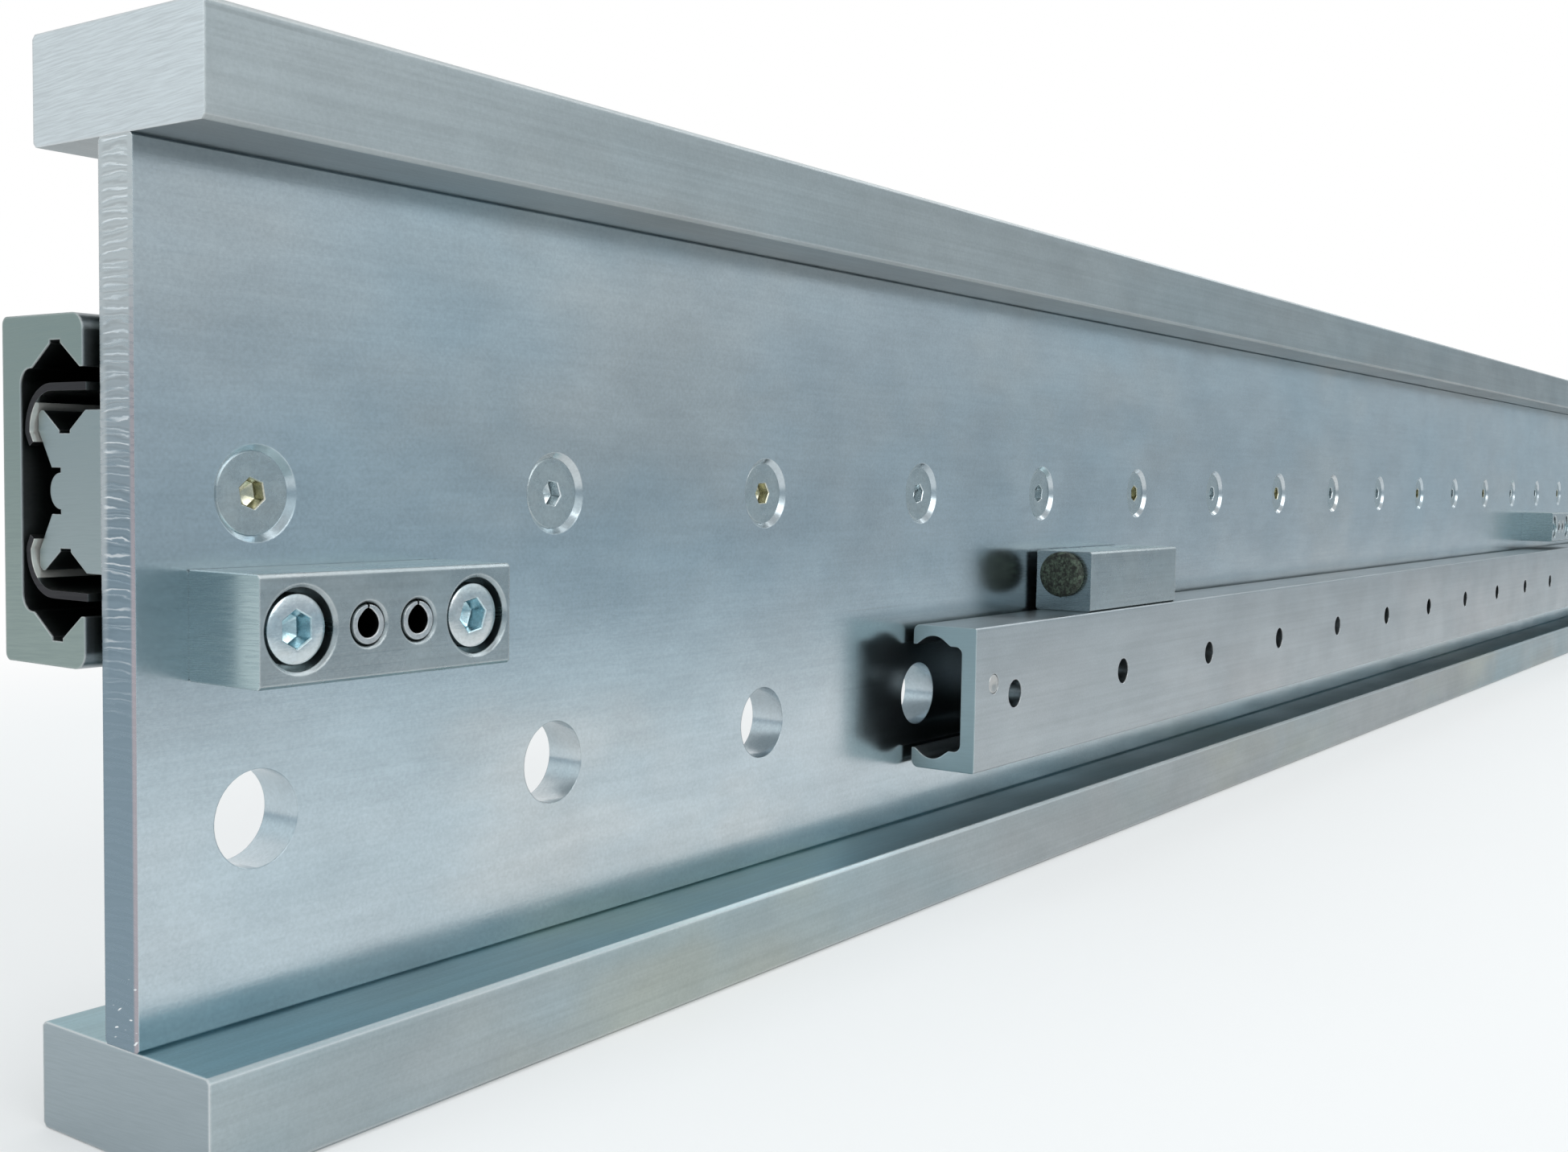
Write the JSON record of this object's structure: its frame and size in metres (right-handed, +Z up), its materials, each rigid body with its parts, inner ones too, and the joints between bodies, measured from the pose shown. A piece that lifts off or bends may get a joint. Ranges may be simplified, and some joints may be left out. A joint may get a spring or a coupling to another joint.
{
  "type": "telescopic slide rail",
  "caption": "Heavy-duty telescopic slide rail: an I-beam rides on a fixed ball rail at its back and carries a moving ball rail in front, so the load travels clear of the frame.",
  "frame": {"origin": "middle of the lower flange's resting face, straight below the middle of the web", "axes": "+X along the rails, the way the stages pull out; +Z up; -Y towards the moving rail, +Y towards the fixed rail"},
  "size_m": [2.1512, 0.061, 0.2],
  "materials": {
    "beam_steel": "zinc plated, satin",
    "rail_steel": "zinc plated, satin",
    "slider_steel": "zinc plated, dull",
    "cage_steel": "bright sheet",
    "ball_steel": "polished",
    "block_steel": "zinc plated, satin",
    "pin_steel": "bright",
    "bumper_rubber": "matt"
  },
  "bodies": {
    "fixed_rail": {"fixed_rail": "rail_steel"},
    "beam": {"web_plate": "beam_steel", "bottom_flange": "beam_steel", "top_flange": "beam_steel", "back_slider": "slider_steel", "front_slider": "slider_steel", "left_stop_block": "block_steel", "right_stop_block": "block_steel"},
    "moving_rail": {"moving_rail": "rail_steel", "rail_pin": "pin_steel", "bumper_block": "block_steel", "left_bumper": "bumper_rubber", "right_bumper": "bumper_rubber"},
    "back_cages": {"back_upper_cage": "cage_steel", "back_lower_cage": "cage_steel", "back_upper_balls": "ball_steel", "back_lower_balls": "ball_steel"},
    "front_cages": {"front_upper_cage": "cage_steel", "front_lower_cage": "cage_steel", "front_upper_balls": "ball_steel", "front_lower_balls": "ball_steel"}
  },
  "joints": [
    {"name": "beam_slide", "type": "slide", "parent": "fixed_rail", "child": "beam", "axis": [1, 0, 0], "range_m": [0, 0.95]},
    {"name": "moving_rail_slide", "type": "slide", "parent": "beam", "child": "moving_rail", "axis": [1, 0, 0], "range_m": [-0.2642, 0.6858]},
    {"name": "back_cage_slide", "type": "slide", "parent": "fixed_rail", "child": "back_cages", "axis": [1, 0, 0], "range_m": [0, 0.475]},
    {"name": "front_cage_slide", "type": "slide", "parent": "beam", "child": "front_cages", "axis": [1, 0, 0], "range_m": [-0.1321, 0.3429]}
  ],
  "couplings": [
    {"joint": "back_cage_slide", "follows": "beam_slide", "ratio": 0.5},
    {"joint": "front_cage_slide", "follows": "moving_rail_slide", "ratio": 0.5}
  ]
}
